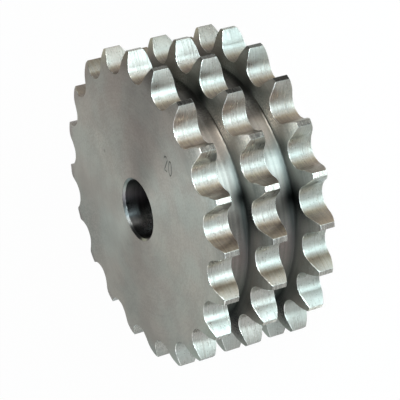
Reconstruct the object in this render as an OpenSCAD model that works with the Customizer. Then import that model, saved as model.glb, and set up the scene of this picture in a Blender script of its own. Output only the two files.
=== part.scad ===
// Triplex roller chain sprocket: three toothed rows turned and hobbed from one bar.
// Millimetres. The bore axis is Z and the part rests on its back face at Z = 0.

/* [Chain] */

// Pitch of the chain, from pin to pin
chain_pitch = 12.7; // [11:0.1:16]
// Diameter of the chain roller
roller_d = 8.51; // [7.2:0.01:9]
// Distance from one row of teeth to the next
row_pitch = 13.92; // [11:0.01:24]
// Number of chain strands, which is the number of toothed rows
row_count = 3; // [2:1:5]

/* [Teeth] */

// Number of teeth on each row
tooth_count = 20; // [15:1:30]
// Width of a toothed row along the bore axis
tooth_w = 7; // [5:0.1:9]
// Height of the tooth tips over the pitch circle
tip_rise = 2.32; // [1.6:0.02:2.8]
// Play of a roller in its seat, on the radius
seat_play = 0.09; // [0.02:0.01:0.25]
// Angle over which the seat hugs the roller
seat_angle = 136; // [124:1:140]
// Radius of the rounded tooth flank above the seat
flank_r = 16.2; // [13:0.1:26]
// Width that the side relief takes off each side at the tip
relief_w = 1.45; // [0.5:0.05:2]
// Radius of the side relief, seen along the tooth
relief_r = 12.8; // [10:0.1:20]
// Turn of the first tooth from the X axis
first_tooth = 0; // [-9:0.5:9]

/* [Body] */

// Depth of the chain plate grooves below the tooth roots
groove_drop = 3.5; // [1.5:0.1:8]
// Radius in the bottom corners of the grooves
groove_fillet = 0.5; // [0.2:0.1:1.5]
// Diameter of the bore
bore_d = 16; // [8:0.5:40]
// Width of the chamfer at each end of the bore
bore_chamfer = 0.55; // [0.2:0.05:2]

/* [Hidden] */

// Overlap that keeps touching arcs from being exactly tangent
kiss = 0.002;
step = 360 / tooth_count;
pitch_r = chain_pitch / 2 / sin(180 / tooth_count);
seat_r = roller_d / 2 + seat_play;
root_r = pitch_r - seat_r;
tip_r = pitch_r + tip_rise;
core_r = root_r - groove_drop;
total_w = (row_count - 1) * row_pitch + tooth_w;
// Radial height of the side relief, from where it leaves the flat side
relief_h = sqrt(relief_r * relief_r - (relief_r - relief_w) * (relief_r - relief_w));
face_r = tip_r - relief_h;

// Flat shape of one tooth space, its roller seat on the X axis
module tooth_space() {
    // Centre distance of seat arc and flank arc, which meet in one smooth line
    reach = seat_r + flank_r - kiss;
    side_x = cos(step / 2);
    side_y = sin(step / 2);
    far_r = tip_r + 3;
    translate([pitch_r, 0]) {
        circle(r = seat_r, $fn = 72);
    }
    difference() {
        polygon([[pitch_r - seat_r / 2, 0], [pitch_r * side_x, pitch_r * side_y], [far_r * side_x, far_r * side_y],
            [far_r * side_x, -far_r * side_y], [pitch_r * side_x, -pitch_r * side_y]]);
        for (side = [-1, 1]) {
            translate([pitch_r - reach * cos(seat_angle / 2), side * reach * sin(seat_angle / 2)]) {
                circle(r = flank_r, $fn = 360);
            }
        }
    }
}

// Flat toothed shape, a tooth on the X axis
module toothed_shape() {
    difference() {
        circle(r = tip_r + 1, $fn = 240);
        for (i = [0 : tooth_count - 1]) {
            rotate((i + 0.5) * step) {
                tooth_space();
            }
        }
    }
}

// Half section of one toothed row, from the bore axis out to the tip
module row_section() {
    intersection() {
        square([tip_r, tooth_w]);
        union() {
            square([face_r, tooth_w]);
            intersection() {
                translate([face_r, relief_r - kiss]) {
                    circle(r = relief_r, $fn = 240);
                }
                translate([face_r, tooth_w - relief_r + kiss]) {
                    circle(r = relief_r, $fn = 240);
                }
            }
        }
    }
}

// Half section of the core under one groove, rounded into both walls
module groove_section() {
    gap = row_pitch - tooth_w;
    square([core_r, gap]);
    for (up = [0, 1]) {
        translate([0, up * gap]) {
            mirror([0, up]) {
                difference() {
                    translate([core_r - 1, -1]) {
                        square([groove_fillet + 1, groove_fillet + 1]);
                    }
                    translate([core_r + groove_fillet, groove_fillet]) {
                        circle(r = groove_fillet + kiss, $fn = 48);
                    }
                }
            }
        }
    }
}

// Half section of the whole turned blank, without its bore
module blank_section() {
    for (row = [0 : row_count - 1]) {
        translate([0, row * row_pitch]) {
            row_section();
        }
    }
    for (row = [0 : row_count - 2]) {
        translate([0, row * row_pitch + tooth_w]) {
            groove_section();
        }
    }
}

// The bore with its chamfer at both ends
module bore() {
    translate([0, 0, -1]) {
        cylinder(h = total_w + 2, r = bore_d / 2, $fn = 120);
    }
    for (up = [0, 1]) {
        translate([0, 0, up * total_w]) {
            mirror([0, 0, up]) {
                translate([0, 0, -0.5]) {
                    cylinder(h = bore_chamfer + 0.5, r1 = bore_d / 2 + bore_chamfer + 0.5, r2 = bore_d / 2, $fn = 120);
                }
            }
        }
    }
}

module sprocket() {
    color([0.62, 0.62, 0.60]) {
        difference() {
            intersection() {
                rotate_extrude($fn = 240) {
                    blank_section();
                }
                rotate(first_tooth) {
                    translate([0, 0, -1]) {
                        linear_extrude(height = total_w + 2) {
                            toothed_shape();
                        }
                    }
                }
            }
            bore();
        }
    }
}

sprocket();
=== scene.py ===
"""Looks of a triplex roller chain sprocket: turned and hobbed steel on a pale studio floor.

Lengths are in millimetres, except those of the room, which are in metres, and angles are in degrees.
"""
import logging
import math
from dataclasses import dataclass
from enum import Enum
from typing import NamedTuple, Union

import bpy
import numpy as np
from mathutils import Matrix, Vector, geometry


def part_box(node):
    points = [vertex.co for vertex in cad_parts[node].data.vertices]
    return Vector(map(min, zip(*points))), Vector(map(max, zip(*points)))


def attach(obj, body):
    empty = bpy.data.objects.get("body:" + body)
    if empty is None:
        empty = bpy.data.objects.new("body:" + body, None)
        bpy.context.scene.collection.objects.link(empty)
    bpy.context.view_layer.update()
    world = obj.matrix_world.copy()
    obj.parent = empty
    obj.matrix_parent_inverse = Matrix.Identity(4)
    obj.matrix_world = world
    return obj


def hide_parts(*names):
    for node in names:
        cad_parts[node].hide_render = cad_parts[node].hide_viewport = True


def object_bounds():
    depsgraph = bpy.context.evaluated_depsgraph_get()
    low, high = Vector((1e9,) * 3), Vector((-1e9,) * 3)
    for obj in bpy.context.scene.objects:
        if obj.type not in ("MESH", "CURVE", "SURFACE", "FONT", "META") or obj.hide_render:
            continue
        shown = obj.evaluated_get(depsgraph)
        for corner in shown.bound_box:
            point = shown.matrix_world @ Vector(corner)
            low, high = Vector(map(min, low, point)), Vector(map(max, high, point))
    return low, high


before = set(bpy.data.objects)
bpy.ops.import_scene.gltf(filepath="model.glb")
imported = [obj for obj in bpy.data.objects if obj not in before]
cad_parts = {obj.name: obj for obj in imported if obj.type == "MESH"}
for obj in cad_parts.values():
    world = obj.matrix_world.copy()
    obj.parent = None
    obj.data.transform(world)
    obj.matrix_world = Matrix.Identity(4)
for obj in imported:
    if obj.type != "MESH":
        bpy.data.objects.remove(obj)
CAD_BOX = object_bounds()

log = logging.getLogger("sprocket")

MM = 0.001
NODE = "sprocket"
# Columns of every round surface, and the radius up to which the flat sides are round
ROUND_COLUMNS = 160
INSIDE_TEETH_R = 34.7
# How far the marks of a hob lean across the row for each step along the cut
MARK_LEAN = 0.035
# Stretch of the noise over which the cuts of all the rows are spread
SEED_STRETCH = 731.0
# A quarter turn of the glint, as a share of a whole one
QUARTER_TURN = 0.25
# Names of the marks that the mesh carries for its finishes. The dirt and shade mark is dirt in the stamp
# and painted shade in the grooves and the bore; the wear and shine mark is edge wear with a painted
# highlight, and a painted glint along the foot of the grooves; the tint mark is a painted brown reflection
# and shade on the walls of the gaps
ACROSS, ALONG, CUT = "cut_across", "cut_along", "cut_number"
WEAR_AND_SHINE, DIRT_AND_SHADE, PAINTED_TINT = "edge_wear_and_shine", "dirt_and_shade", "painted_brown_tint"

Colour = tuple[float, float, float]
Value = Union[float, tuple, bpy.types.NodeSocket]


class Region(Enum):
    """Which finish a face of the sprocket has; the value is its material's place on the mesh."""

    TURNED_SIDE = 0
    HOBBED_GAP = 1
    TOOTH_LAND = 2
    GROOVE_CORE = 3
    BORE = 4
    GROOVE_WALL = 5


def turned(points: np.ndarray, degrees: float) -> np.ndarray:
    """Turns flat points or directions about the origin.

    Args:
        points: Array of x and y.
        degrees: Angle, counter-clockwise.

    Returns:
        The turned array.
    """
    a = math.radians(degrees)
    spin = np.array([[math.cos(a), math.sin(a)], [-math.sin(a), math.cos(a)]])
    return points @ spin


def with_height(flat: np.ndarray, z: Union[float, np.ndarray]) -> np.ndarray:
    """Adds one height, or one for each, to flat points."""
    return np.column_stack([flat, np.broadcast_to(z, len(flat))])


def unit(vectors: np.ndarray) -> np.ndarray:
    """Scales each vector of an array to length one."""
    return vectors / np.linalg.norm(vectors, axis=-1, keepdims=True)


def ring(radius: float, count: int) -> np.ndarray:
    """Gives evenly spaced flat points round a circle, from the X axis on."""
    a = np.arange(count) * 2 * math.pi / count
    return radius * np.column_stack([np.cos(a), np.sin(a)])


def eased(values: np.ndarray, start: float, end: float) -> np.ndarray:
    """Maps a range of numbers smoothly onto 0 to 1."""
    share = np.clip((values - start) / (end - start), 0, 1)
    return share * share * (3 - 2 * share)


def direction(azimuth: float, elevation: float) -> Vector:
    """Gives the unit vector towards an azimuth round the bore axis and an elevation above the floor."""
    az, el = math.radians(azimuth), math.radians(elevation)
    return Vector((math.cos(az) * math.cos(el), math.sin(az) * math.cos(el), math.sin(el)))


@dataclass(frozen=True)
class Sector:
    """A stretch of the wheel, round the bore, where a mark is softly stronger or weaker."""

    angle: float
    spread: float
    change: float

    def factor(self, flat: np.ndarray) -> np.ndarray:
        """Works out how the sector changes a mark.

        Args:
            flat: Array of x and y.

        Returns:
            One factor for each point, which is 1 far from the sector.
        """
        away = np.degrees(np.arctan2(flat[:, 1], flat[:, 0])) - self.angle
        away = (away + 180) % 360 - 180
        return 1 + self.change * np.exp(-((away / self.spread) ** 2))


# Sectors of the grooves where the painted shade is taken away, and where it is made darker
GROOVE_SECTORS = (Sector(29.0, 11.0, -1.0), Sector(-12.0, 10.0, 0.6), Sector(-72.0, 14.0, 0.5))


def sector_shade_factor(flat: np.ndarray) -> np.ndarray:
    """Gives the factor that all the sectors together put on the painted shade at flat points."""
    return np.prod([sector.factor(flat) for sector in GROOVE_SECTORS], axis=0)


class Outline(NamedTuple):
    """The toothed outline as one closed row of columns.

    along is the distance from the middle of the gap, gap is its number, and corner says whether a column
    belongs to a land or to the bend beside it.
    """

    points: np.ndarray
    normals: np.ndarray
    along: np.ndarray
    gap: np.ndarray
    corner: np.ndarray


@dataclass
class ToothOutline:
    """Shape of the teeth as seen along the bore: roller seats, rounded flanks and narrow lands."""

    tip_r: float
    chain_pitch: float = 12.7
    roller_d: float = 8.51
    tooth_count: int = 20
    seat_play: float = 0.09
    seat_angle: float = 136.0
    flank_r: float = 16.2
    corner_break: float = 0.12
    seat_steps: int = 8
    flank_steps: int = 5

    @property
    def pitch_angle(self) -> float:
        """Angle from one tooth to the next."""
        return 360 / self.tooth_count

    @property
    def pitch_r(self) -> float:
        """Radius of the circle on which the roller centres lie."""
        return self.chain_pitch / 2 / math.sin(math.pi / self.tooth_count)

    @property
    def seat_r(self) -> float:
        """Radius of a roller seat."""
        return self.roller_d / 2 + self.seat_play

    def half_gap(self) -> tuple[np.ndarray, np.ndarray, np.ndarray]:
        """Lays out one flank of a gap that lies on the X axis, from its middle to the middle of the land.

        Returns:
            Points, outward normals and arc lengths.
        """
        half_seat = math.radians(self.seat_angle / 2)
        reach = self.seat_r + self.flank_r
        centre = np.array([self.pitch_r - reach * math.cos(half_seat), reach * math.sin(half_seat)])
        tilt = math.atan2(centre[1], centre[0])
        square = (self.tip_r**2 - centre @ centre - self.flank_r**2) / 2 / self.flank_r
        tip = math.acos(square / np.linalg.norm(centre)) - tilt
        last = tip + self.corner_break / self.flank_r

        beta = np.linspace(0, half_seat, self.seat_steps + 1)
        seat_n = np.column_stack([np.cos(beta), -np.sin(beta)])
        seat = [self.pitch_r, 0] - self.seat_r * seat_n
        gamma = np.linspace(half_seat, last, self.flank_steps + 1)[1:]
        flank_n = np.column_stack([np.cos(gamma), -np.sin(gamma)])
        flank = centre + self.flank_r * flank_n

        peak = centre + self.flank_r * np.array([math.cos(tip), -math.sin(tip)])
        land_from = math.atan2(peak[1], peak[0]) + self.corner_break / self.tip_r
        middle = math.radians(self.pitch_angle / 2)
        land_n = np.array([[math.cos(a), math.sin(a)] for a in (land_from, middle)])
        land = self.tip_r * land_n
        bend = (flank[-1] + 2 * peak + land[0]) / 4
        bend_n = unit(flank_n[-1] + land_n[0])

        points = np.vstack([seat, flank, [bend], land])
        normals = np.vstack([seat_n, flank_n, [bend_n], land_n])
        steps = np.linalg.norm(np.diff(points, axis=0), axis=1)
        return points, normals, np.concatenate([[0], np.cumsum(steps)])

    def whole(self) -> Outline:
        """Repeats the gap round the wheel.

        Returns:
            The closed outline; each gap starts at the middle of the land before it.
        """
        points, normals, arc = self.half_gap()
        mirror = np.array([1, -1])
        gap_points = np.vstack([points[:0:-1] * mirror, points[:-1]])
        gap_normals = np.vstack([normals[:0:-1] * mirror, normals[:-1]])
        gap_along = np.concatenate([-arc[:0:-1], arc[:-1]])
        per_gap = len(gap_along)
        steps_out = np.abs(np.arange(per_gap) - per_gap // 2)
        turns = [(g + 0.5) * self.pitch_angle for g in range(self.tooth_count)]
        return Outline(
            np.vstack([turned(gap_points, t) for t in turns]),
            np.vstack([turned(gap_normals, t) for t in turns]),
            np.tile(gap_along, self.tooth_count),
            np.repeat(np.arange(self.tooth_count), per_gap),
            np.tile(steps_out >= self.seat_steps + self.flank_steps, self.tooth_count),
        )


class SteelSkin:
    """Collects the surface of the sprocket: vertices with their normals and marks, and the faces."""

    def __init__(self) -> None:
        """Starts an empty surface."""
        self.points: list[np.ndarray] = []
        self.normals: list[np.ndarray] = []
        self.marks: dict[str, list[np.ndarray]] = {
            name: [] for name in (ACROSS, ALONG, CUT, WEAR_AND_SHINE, DIRT_AND_SHADE, PAINTED_TINT)
        }
        self.faces: list[tuple[int, ...]] = []
        self.regions: list[int] = []
        self.corners: dict[int, list] = {}
        self.size = 0

    def add(self, points: np.ndarray, normals: np.ndarray, **marks: Union[float, np.ndarray]) -> np.ndarray:
        """Adds vertices.

        Args:
            points: Array of x, y and z.
            normals: One normal for each, or one for all.
            marks: Values of the mesh's marks, one for all vertices or one for each.

        Returns:
            The numbers of the new vertices.
        """
        count = len(points)
        self.points.append(points)
        self.normals.append(unit(np.broadcast_to(np.asarray(normals, float), (count, 3))))
        for name, store in self.marks.items():
            store.append(np.broadcast_to(marks.get(name, 0.0), count))
        self.size += count
        return np.arange(self.size - count, self.size)

    def face(self, corners: tuple[int, ...], region: Region, normals: Union[list, None] = None) -> None:
        """Adds one face.

        Args:
            corners: The numbers of its vertices.
            region: Its finish.
            normals: Normals of its own at its corners, or none to take those of the vertices.
        """
        if normals is not None:
            self.corners[len(self.faces)] = normals
        self.faces.append(tuple(int(c) for c in corners))
        self.regions.append(region.value)

    def bridge(self, lower: np.ndarray, upper: np.ndarray, regions: Union[Region, np.ndarray]) -> None:
        """Joins two closed loops of equal length with quads.

        Args:
            lower: Vertices of one loop.
            upper: Vertices of the other.
            regions: The finish, or the finish numbers from column to column.
        """
        quads = np.column_stack([lower, np.roll(lower, -1), np.roll(upper, -1), upper])
        self.faces.extend(map(tuple, quads.tolist()))
        if isinstance(regions, Region):
            regions = np.full(len(lower), regions.value)
        self.regions.extend(regions.tolist())

    def gather(self, many: np.ndarray, few: np.ndarray, region: Region) -> None:
        """Joins a fine closed loop to a coarser one.

        Args:
            many: The fine loop.
            few: The coarse loop; each of its steps gets one face.
            region: The finish.
        """
        share = len(many) // len(few)
        fine, coarse = np.append(many, many[0]), np.append(few, few[0])
        for k in range(len(few)):
            outer = fine[k * share : (k + 1) * share + 1]
            self.face((*outer, coarse[k + 1], coarse[k]), region)

    def chain(self, loops: list[np.ndarray], regions: Union[Region, np.ndarray]) -> None:
        """Joins each loop of a list to the next."""
        for lower, upper in zip(loops, loops[1:]):
            self.bridge(lower, upper, regions)

    def mesh(self, name: str) -> bpy.types.Mesh:
        """Makes the Blender mesh, in metres, with every face turned outwards.

        Args:
            name: Name of the mesh.

        Returns:
            The mesh with its normals, marks and material numbers.
        """
        points, normals = np.vstack(self.points), np.vstack(self.normals)
        faces, corner_normals = [], []
        for number, face in enumerate(self.faces):
            own = self.corners.get(number) or [normals[c] for c in face]
            corner = points[list(face)]
            area = np.cross(corner - corner[0], np.roll(corner, -1, axis=0) - corner[0]).sum(axis=0)
            if area @ np.sum(own, axis=0) < 0:
                face, own = face[::-1], own[::-1]
            faces.append(face)
            corner_normals.extend(own)
        mesh = bpy.data.meshes.new(name)
        mesh.from_pydata((points * MM).tolist(), [], faces)
        mesh.polygons.foreach_set("material_index", self.regions)
        mesh.shade_smooth()
        for mark, store in self.marks.items():
            layer = mesh.attributes.new(mark, "FLOAT", "POINT")
            layer.data.foreach_set("value", np.concatenate(store).astype(np.float32))
        mesh.normals_split_custom_set(np.array(corner_normals, np.float32))
        mesh.update()
        return mesh


@dataclass(frozen=True)
class Burr:
    """A short stretch of a tooth's edge that is nicked or turned over, and so broken more widely."""

    row: int
    upper: bool
    x: float
    y: float
    length: float
    width: float

    def width_at(self, outline: Outline) -> np.ndarray:
        """Gives the extra width of the broken edge at each column of the outline."""
        away = np.linalg.norm(outline.points - [self.x, self.y], axis=1)
        return self.width * np.exp(-((away / self.length) ** 2))


@dataclass
class HobMarks:
    """Feed marks that the hob leaves across the width of a gap."""

    depth: float
    pitches: tuple[float, ...] = (0.8, 1.25, 2.1)
    lean: float = MARK_LEAN

    def cut(self, across: np.ndarray, along: np.ndarray, phase: np.ndarray) -> tuple[np.ndarray, np.ndarray]:
        """Says how far the marks go into the wall.

        Args:
            across: Distance from the lower side of the row.
            along: Distance from the middle of the gap along its outline.
            phase: Start of each wave, one row for each pitch.

        Returns:
            Depth and its slope across the row.
        """
        depth, slope = np.zeros_like(along), np.zeros_like(along)
        for pitch, start in zip(self.pitches, phase):
            wave = 2 * math.pi / pitch
            angle = wave * (across + self.lean * along) + start
            depth += (1 + np.sin(angle)) / 2
            slope += wave * np.cos(angle) / 2
        share = self.depth / len(self.pitches)
        return depth * share, slope * share


@dataclass
class ToothedRow:
    """One row of teeth, from its flat sides out to the lands.

    inner_even evens out the columns of the innermost loop, and edge_calm is the sum of the edge's waves
    that makes one whole edge_spread.
    """

    number: int
    row_count: int
    foot: float
    outline: Outline
    tip_r: float
    marks: HobMarks
    burrs: tuple[Burr, ...] = ()
    width: float = 7.0
    relief_w: float = 1.45
    relief_r: float = 12.8
    inner_r: float = 35.7
    inner_even: float = 0.35
    edge_break: float = 0.085
    edge_spread: float = 0.035
    edge_waves: tuple[int, ...] = (7, 23, 41, 67, 113, 171)
    edge_calm: float = 2.4
    edge_least: float = 0.045
    edge_most: float = 0.19
    side_steps: int = 5
    rim_steps: int = 4
    rim_depth: float = 1.65
    middle_steps: int = 14
    mark_strengths: tuple[float, float] = (0.6, 1.3)
    # Where the painted shade on the groove sides starts, and how far in it fades to full
    shade_r: float = 38.0
    shade_fade: float = 5.0
    # Facing angles and fades of the painted brown reflection and shade on the walls
    tint_angles: tuple[float, float] = (20.0, 62.0)
    tint_fade: tuple[float, float] = (4.6, 6.4)
    tint_drop: float = 0.06
    rim_wear: float = 0.55
    rim_nick_wear: float = 0.45
    side_nick_wear: float = 0.25

    def relief(self, radius: np.ndarray) -> tuple[np.ndarray, np.ndarray]:
        """Says how far the rounded side relief lies under the flat side.

        Args:
            radius: Distances from the bore axis.

        Returns:
            Depth and its slope outwards.
        """
        height = math.sqrt(self.relief_r**2 - (self.relief_r - self.relief_w) ** 2)
        out = np.clip(radius - (self.tip_r - height), 0, None)
        rest = np.sqrt(self.relief_r**2 - out**2)
        return self.relief_r - rest, out / rest

    def side_loop(
        self, skin: SteelSkin, flat: np.ndarray, upper: bool, wear: Union[float, np.ndarray]
    ) -> np.ndarray:
        """Adds a closed loop that lies on one side of the row.

        Args:
            skin: The surface so far.
            flat: The loop's points, seen along the bore.
            upper: Whether it is the side that faces up.
            wear: How worn the loop is, in all or at each point.

        Returns:
            The numbers of its vertices.
        """
        radius = np.linalg.norm(flat, axis=1)
        depth, slope = self.relief(radius)
        facing = 1 if upper else -1
        z = self.foot + self.width - depth if upper else self.foot + depth
        normals = with_height(flat / radius[:, None] * slope[:, None], facing)
        marks = {DIRT_AND_SHADE: self.dirt_and_shade(flat, upper), WEAR_AND_SHINE: wear}
        return skin.add(with_height(flat, z), normals, **marks)

    def edge_widths(self, rng: np.random.Generator, upper: bool) -> np.ndarray:
        """Lays out one broken edge of the row, uneven as deburring leaves it.

        Args:
            rng: Seeded source of the unevenness.
            upper: Whether it is the edge of the side that faces up.

        Returns:
            The width of the edge at each column.
        """
        count = len(self.outline.points)
        turns = np.arange(count) * 2 * math.pi / count
        waves = sum(np.sin(k * turns + rng.uniform(0, 2 * math.pi)) for k in self.edge_waves)
        width = self.edge_break + self.edge_spread * waves / self.edge_calm
        for burr in self.burrs:
            if burr.row == self.number and burr.upper == upper:
                width = width + burr.width_at(self.outline)
        return np.clip(width, self.edge_least, self.edge_most)

    def side(self, skin: SteelSkin, upper: bool, widths: np.ndarray) -> tuple[np.ndarray, np.ndarray]:
        """Builds one side of the teeth, from inside the roots out to the broken edge.

        Args:
            skin: The surface so far.
            upper: Whether it is the side that faces up.
            widths: Width of the broken edge at each column.

        Returns:
            The innermost loop and the outermost one.
        """
        outer = self.outline.points - self.outline.normals * widths[:, None]
        angle = np.unwrap(np.arctan2(outer[:, 1], outer[:, 0]))
        even = angle[0] + np.arange(len(angle)) * 2 * math.pi / len(angle)
        angle = angle + self.inner_even * (even - angle)
        inner = self.inner_r * np.column_stack([np.cos(angle), np.sin(angle)])
        nicked = eased(widths, self.edge_break, self.edge_most)
        wear = {
            self.side_steps - 1: self.side_nick_wear * nicked,
            self.side_steps: self.rim_wear + self.rim_nick_wear * nicked,
        }
        loops = []
        for k in range(self.side_steps + 1):
            flat = inner + (outer - inner) * (k / self.side_steps)
            loops.append(self.side_loop(skin, flat, upper, wear.get(k, 0.0)))
        skin.chain(loops, self.side_region(upper))
        return loops[0], loops[-1]

    def dirt_and_shade(self, flat: np.ndarray, upper: bool) -> np.ndarray:
        """Says how much painted shade lies on a side; it darkens towards the core of a groove.

        Args:
            flat: Points on the side, seen along the bore.
            upper: Whether it is the side that faces up.

        Returns:
            One share for each point, which is 0 on the sprocket's two faces.
        """
        if self.side_region(upper) is Region.TURNED_SIDE:
            return np.zeros(len(flat))
        gathered = np.clip((self.shade_r - np.linalg.norm(flat, axis=1)) / self.shade_fade, 0, 1)
        return gathered * sector_shade_factor(flat)

    def painted_brown_tint(self) -> np.ndarray:
        """Says how much painted brown reflection and shade lies on each column of the wall.

        Returns:
            0 to 1; it is strongest on the walls that face towards +Y, and less on the flanks.
        """
        low, high = (math.sin(math.radians(a)) for a in self.tint_angles)
        flank = eased(np.abs(self.outline.along), *self.tint_fade)
        rise = self.outline.normals[:, 1] - self.tint_drop * flank
        return np.clip((rise - low) / (high - low), 0, 1)

    def side_region(self, upper: bool) -> Region:
        """Tells a side's finish: the outermost two are the sprocket's faces, the others face a groove."""
        outermost = self.number == (self.row_count - 1 if upper else 0)
        return Region.TURNED_SIDE if outermost else Region.GROOVE_WALL

    def wall_regions(self) -> np.ndarray:
        """Tells the finish of the wall from each column to the next.

        Returns:
            Finish numbers; a land reaches from the bend at one of its corners to the bend at the other.
        """
        along = np.abs(self.outline.along).round(4)
        # The three farthest columns of a gap are the bend, the start of the land and its middle
        bend = np.unique(along)[-3]
        on_land = np.minimum(along, np.roll(along, -1)) >= bend
        return np.where(on_land, Region.TOOTH_LAND.value, Region.HOBBED_GAP.value)

    def build(self, skin: SteelSkin, rng: np.random.Generator) -> tuple[np.ndarray, np.ndarray]:
        """Builds the row.

        Args:
            skin: The surface so far.
            rng: Seeded source of the unevenness.

        Returns:
            The innermost loops of the lower and the upper side.
        """
        below, above = (self.edge_widths(rng, upper) for upper in (False, True))
        low_inner, low_outer = self.side(skin, False, below)
        high_inner, high_outer = self.side(skin, True, above)
        points, normals, along, gap, corner = self.outline
        # Painted brown reflection and shade on the walls that face towards +Y
        film_and_painted_tint = self.painted_brown_tint()
        gaps = int(gap.max()) + 1
        phase = rng.uniform(0, 2 * math.pi, (len(self.marks.pitches), gaps))[:, gap]
        strength = rng.uniform(*self.mark_strengths, gaps)[gap] * np.where(corner, 0, 1)
        number = (gap + gaps * self.number + 0.5) / (self.row_count * gaps)

        depth, _ = self.relief(np.linalg.norm(points, axis=1))
        start, end = depth + below, self.width - depth - above
        rim = np.arange(self.rim_steps) / self.rim_steps
        levels = [start + (self.rim_depth - start) * t for t in rim]
        middle = np.linspace(self.rim_depth, self.width - self.rim_depth, self.middle_steps + 1)
        levels += [np.full(len(points), s) for s in middle]
        levels += [end + (self.width - self.rim_depth - end) * t for t in rim[::-1]]

        loops = [low_outer]
        for place, across in enumerate(levels):
            inwards, slope = self.marks.cut(across, along, phase)
            edge = place in (0, len(levels) - 1)
            inwards, slope = inwards * strength * (not edge), slope * strength
            flat = points - normals * inwards[:, None]
            marks = {ACROSS: across, ALONG: along, CUT: number, WEAR_AND_SHINE: 1.0 if edge else 0.0, PAINTED_TINT: film_and_painted_tint}
            vertices = with_height(flat, self.foot + across)
            loops.append(skin.add(vertices, with_height(normals, slope), **marks))
        loops.append(high_outer)
        skin.chain(loops, self.wall_regions())
        return low_inner, high_inner


@dataclass
class PlateGroove:
    """The turned groove between two rows, in which the link plates of the chain run."""

    core_r: float
    mouth_r: float = INSIDE_TEETH_R
    mouth_shade: float = 0.66
    fillet: float = 0.5
    # A painted glint line along the rounded foot of the walls that face up, carried by the wear and shine
    # mark
    foot_shine: Sector = Sector(24.0, 15.0, 0.95)
    columns: int = ROUND_COLUMNS
    fillet_steps: int = 4

    def wall(self, skin: SteelSkin, teeth: np.ndarray, z: float, upper: bool) -> np.ndarray:
        """Builds one wall of the groove and its rounded foot.

        Args:
            skin: The surface so far.
            teeth: Innermost loop of the row's side.
            z: Height of the wall.
            upper: Whether the wall faces up.

        Returns:
            The loop where the core begins.
        """
        facing = 1 if upper else -1
        flat = ring(self.mouth_r, self.columns)
        # Painted shade on the groove's mouth and rounded foot, less in the sectors where it is taken away
        left = sector_shade_factor(flat)
        mouth = skin.add(with_height(flat, z), (0, 0, facing), **{DIRT_AND_SHADE: self.mouth_shade * left})
        skin.gather(teeth, mouth, Region.GROOVE_WALL)
        loops = [mouth]
        for k in range(self.fillet_steps + 1):
            a = math.pi / 2 * k / self.fillet_steps
            radius = self.core_r + self.fillet * (1 - math.sin(a))
            flat = ring(radius, self.columns)
            height = z + facing * self.fillet * (1 - math.cos(a))
            normals = with_height(flat / radius * math.sin(a), facing * math.cos(a))
            halfway = 2 * k == self.fillet_steps
            # The painted glint lies on the middle loop of the foot
            shine = self.foot_shine.factor(flat) - 1 if upper and halfway else 0.0
            loops.append(skin.add(with_height(flat, height), normals, **{DIRT_AND_SHADE: left, WEAR_AND_SHINE: shine}))
        skin.chain(loops[:2], Region.GROOVE_WALL)
        skin.chain(loops[1:], Region.GROOVE_CORE)
        return loops[-1]

    def build(
        self, skin: SteelSkin, below: tuple[np.ndarray, float], above: tuple[np.ndarray, float]
    ) -> None:
        """Builds both walls and the core between them.

        Args:
            skin: The surface so far.
            below: Innermost loop and height of the side that the groove stands on.
            above: The same for the side over it.
        """
        foot = self.wall(skin, *below, True)
        head = self.wall(skin, *above, False)
        flat = ring(self.core_r, self.columns)
        normals = with_height(flat, 0.0)
        third = (above[1] - below[1]) / 3
        between = [skin.add(with_height(flat, below[1] + third * k), normals) for k in (1, 2)]
        skin.chain([foot, *between, head], Region.GROOVE_CORE)


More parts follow.
